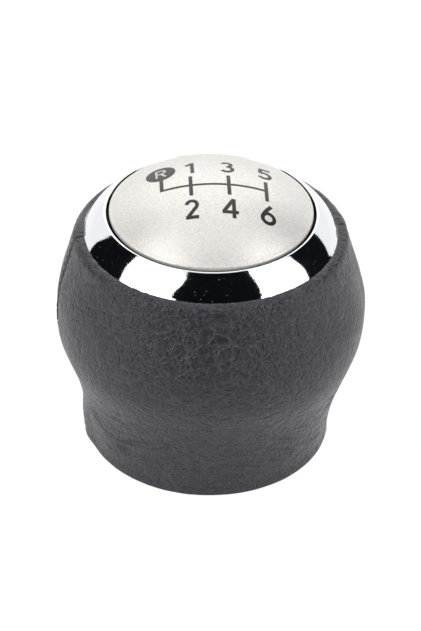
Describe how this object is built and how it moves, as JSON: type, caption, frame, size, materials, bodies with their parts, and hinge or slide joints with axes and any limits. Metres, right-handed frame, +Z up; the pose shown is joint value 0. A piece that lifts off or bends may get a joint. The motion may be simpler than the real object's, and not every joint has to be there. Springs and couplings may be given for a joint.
{
  "type": "gear shift knob",
  "caption": "Round gear shift knob: two-panel leather cover over a moulded core, with a chrome ring, a domed shift-pattern cap and a threaded metal insert underneath.",
  "frame": {"origin": "centre of the knob's footprint, at the bottom of the leather hem", "axes": "+Z up along the lever axis, out of the domed cap; +X along the crossbar of the shift pattern, to the driver's right; -Y towards the driver"},
  "size_m": [0.05, 0.05, 0.0483],
  "materials": {
    "core_plastic": "moulded, fine spark-eroded texture",
    "brass": "turned and knurled",
    "screw_steel": "zinc plated",
    "base_plastic": "moulded, satin",
    "foam": "open-cell foam",
    "leather": "grained, satin",
    "seam_thread": "bonded polyester",
    "ring_chrome": "bright chrome plating on plastic",
    "cap_paint": "satin metallic paint on a moulded cap",
    "tape": "foam tape"
  },
  "bodies": {
    "root": {"core_lower": "core_plastic", "core_upper": "core_plastic", "threaded_insert": "brass", "core_screws": "screw_steel", "base_plate": "base_plastic", "base_screws": "screw_steel", "foam_sleeve": "foam", "leather_front": "leather", "leather_rear": "leather", "seam_thread_left": "seam_thread", "seam_thread_right": "seam_thread", "chrome_ring": "ring_chrome", "shift_cap": "cap_paint", "cap_tape": "tape"}
  },
  "joints": []
}
